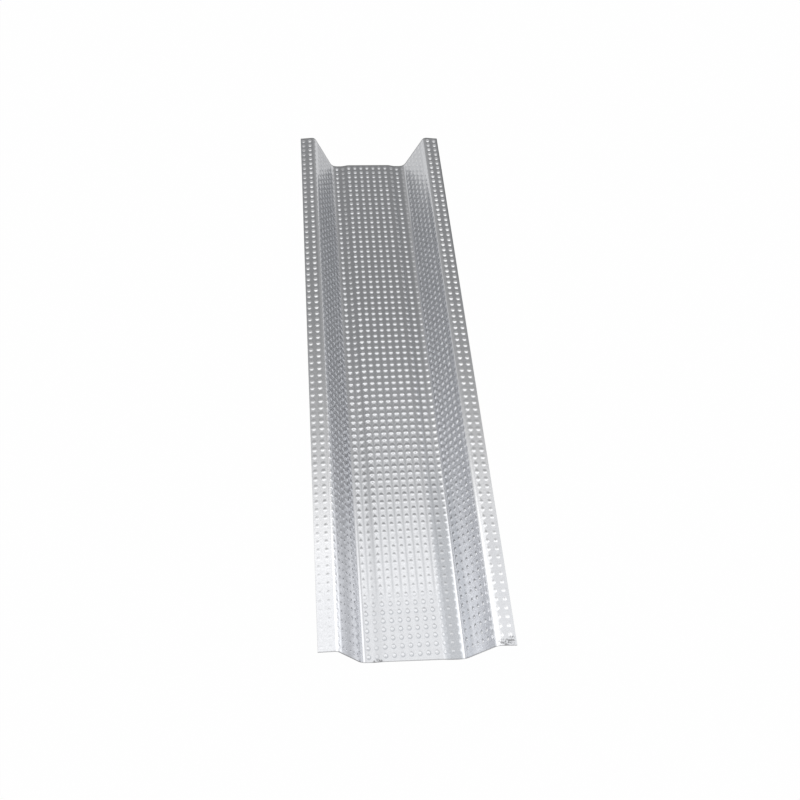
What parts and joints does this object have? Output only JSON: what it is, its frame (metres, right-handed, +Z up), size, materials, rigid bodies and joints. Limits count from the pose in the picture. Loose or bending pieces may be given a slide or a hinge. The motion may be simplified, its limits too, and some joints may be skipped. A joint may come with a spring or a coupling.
{
  "type": "furring channel",
  "caption": "Roll-formed hat section of knurled zinc-coated sheet steel, open trough upwards, with a flat flange along each side.",
  "frame": {"origin": "on the floor under the middle of the crown, at mid-length", "axes": "+Y along the length, +X across the section, +Z up out of the open trough"},
  "size_m": [0.068, 0.25, 0.019],
  "materials": {
    "zinc_sheet": "satin zinc coating with a rolled knurl of small round dimples"
  },
  "bodies": {
    "root": {"furring_channel": "zinc_sheet"}
  },
  "joints": []
}
